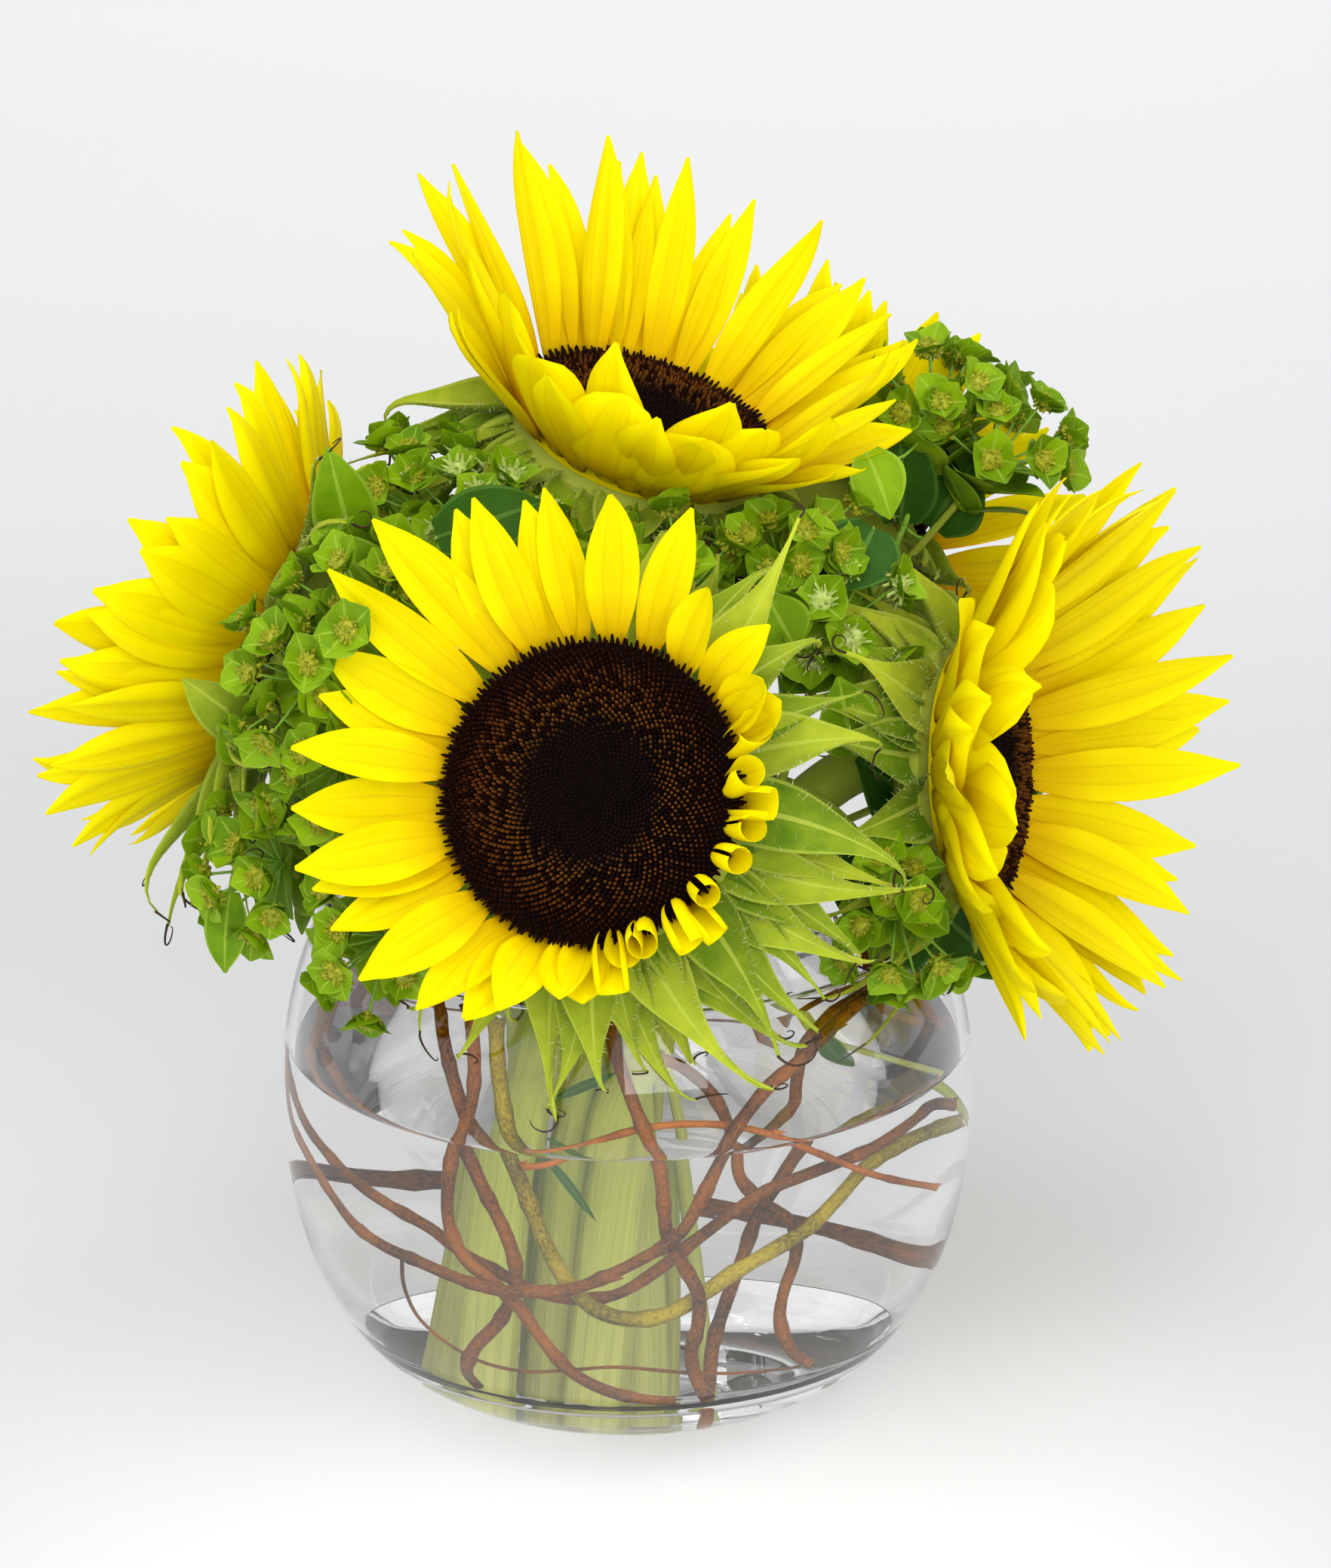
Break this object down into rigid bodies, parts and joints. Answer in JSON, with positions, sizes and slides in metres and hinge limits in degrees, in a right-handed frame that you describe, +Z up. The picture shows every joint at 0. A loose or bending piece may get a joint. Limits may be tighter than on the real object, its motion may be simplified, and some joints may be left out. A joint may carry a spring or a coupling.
{
  "type": "sunflowers in a glass bowl vase",
  "caption": "Cut sunflowers, sprays of bupleurum and wound curly willow in a round clear glass bowl vase with water.",
  "frame": {"origin": "centre of the bowl's flat foot, on the surface it stands on", "axes": "+Z up through the bowl's mouth, -Y towards the viewer whom the front bloom faces"},
  "size_m": [0.3369, 0.2897, 0.3506],
  "materials": {
    "glass": "polished",
    "water": "polished",
    "ray_florets": "satin",
    "disc_florets": "matte",
    "sunflower_green": "matte",
    "willow_bark": "satin",
    "bupleurum_leaf": "satin"
  },
  "bodies": {
    "root": {"glass_bowl": "glass", "front_ray_florets": "ray_florets", "front_disc": "disc_florets", "front_calyx_and_stem": "sunflower_green", "top_ray_florets": "ray_florets", "top_disc": "disc_florets", "top_calyx_and_stem": "sunflower_green", "right_ray_florets": "ray_florets", "right_disc": "disc_florets", "right_calyx_and_stem": "sunflower_green", "left_ray_florets": "ray_florets", "left_disc": "disc_florets", "left_calyx_and_stem": "sunflower_green", "back_ray_florets": "ray_florets", "back_disc": "disc_florets", "back_calyx_and_stem": "sunflower_green", "willow_twig_1": "willow_bark", "willow_twig_2": "willow_bark", "willow_twig_3": "willow_bark", "willow_twig_4": "willow_bark", "willow_twig_5": "willow_bark", "willow_twig_6": "willow_bark", "willow_twig_7": "willow_bark", "willow_twig_8": "willow_bark", "willow_twig_9": "willow_bark", "willow_twig_10": "willow_bark", "willow_twig_11": "willow_bark", "willow_twig_12": "willow_bark", "bupleurum_back_right": "bupleurum_leaf", "bupleurum_middle": "bupleurum_leaf", "bupleurum_left_top": "bupleurum_leaf", "bupleurum_left": "bupleurum_leaf", "bupleurum_low_left": "bupleurum_leaf", "bupleurum_low_right": "bupleurum_leaf", "bupleurum_back_middle": "bupleurum_leaf", "bupleurum_back_left": "bupleurum_leaf", "bupleurum_far_right": "bupleurum_leaf", "water": "water"}
  },
  "joints": []
}
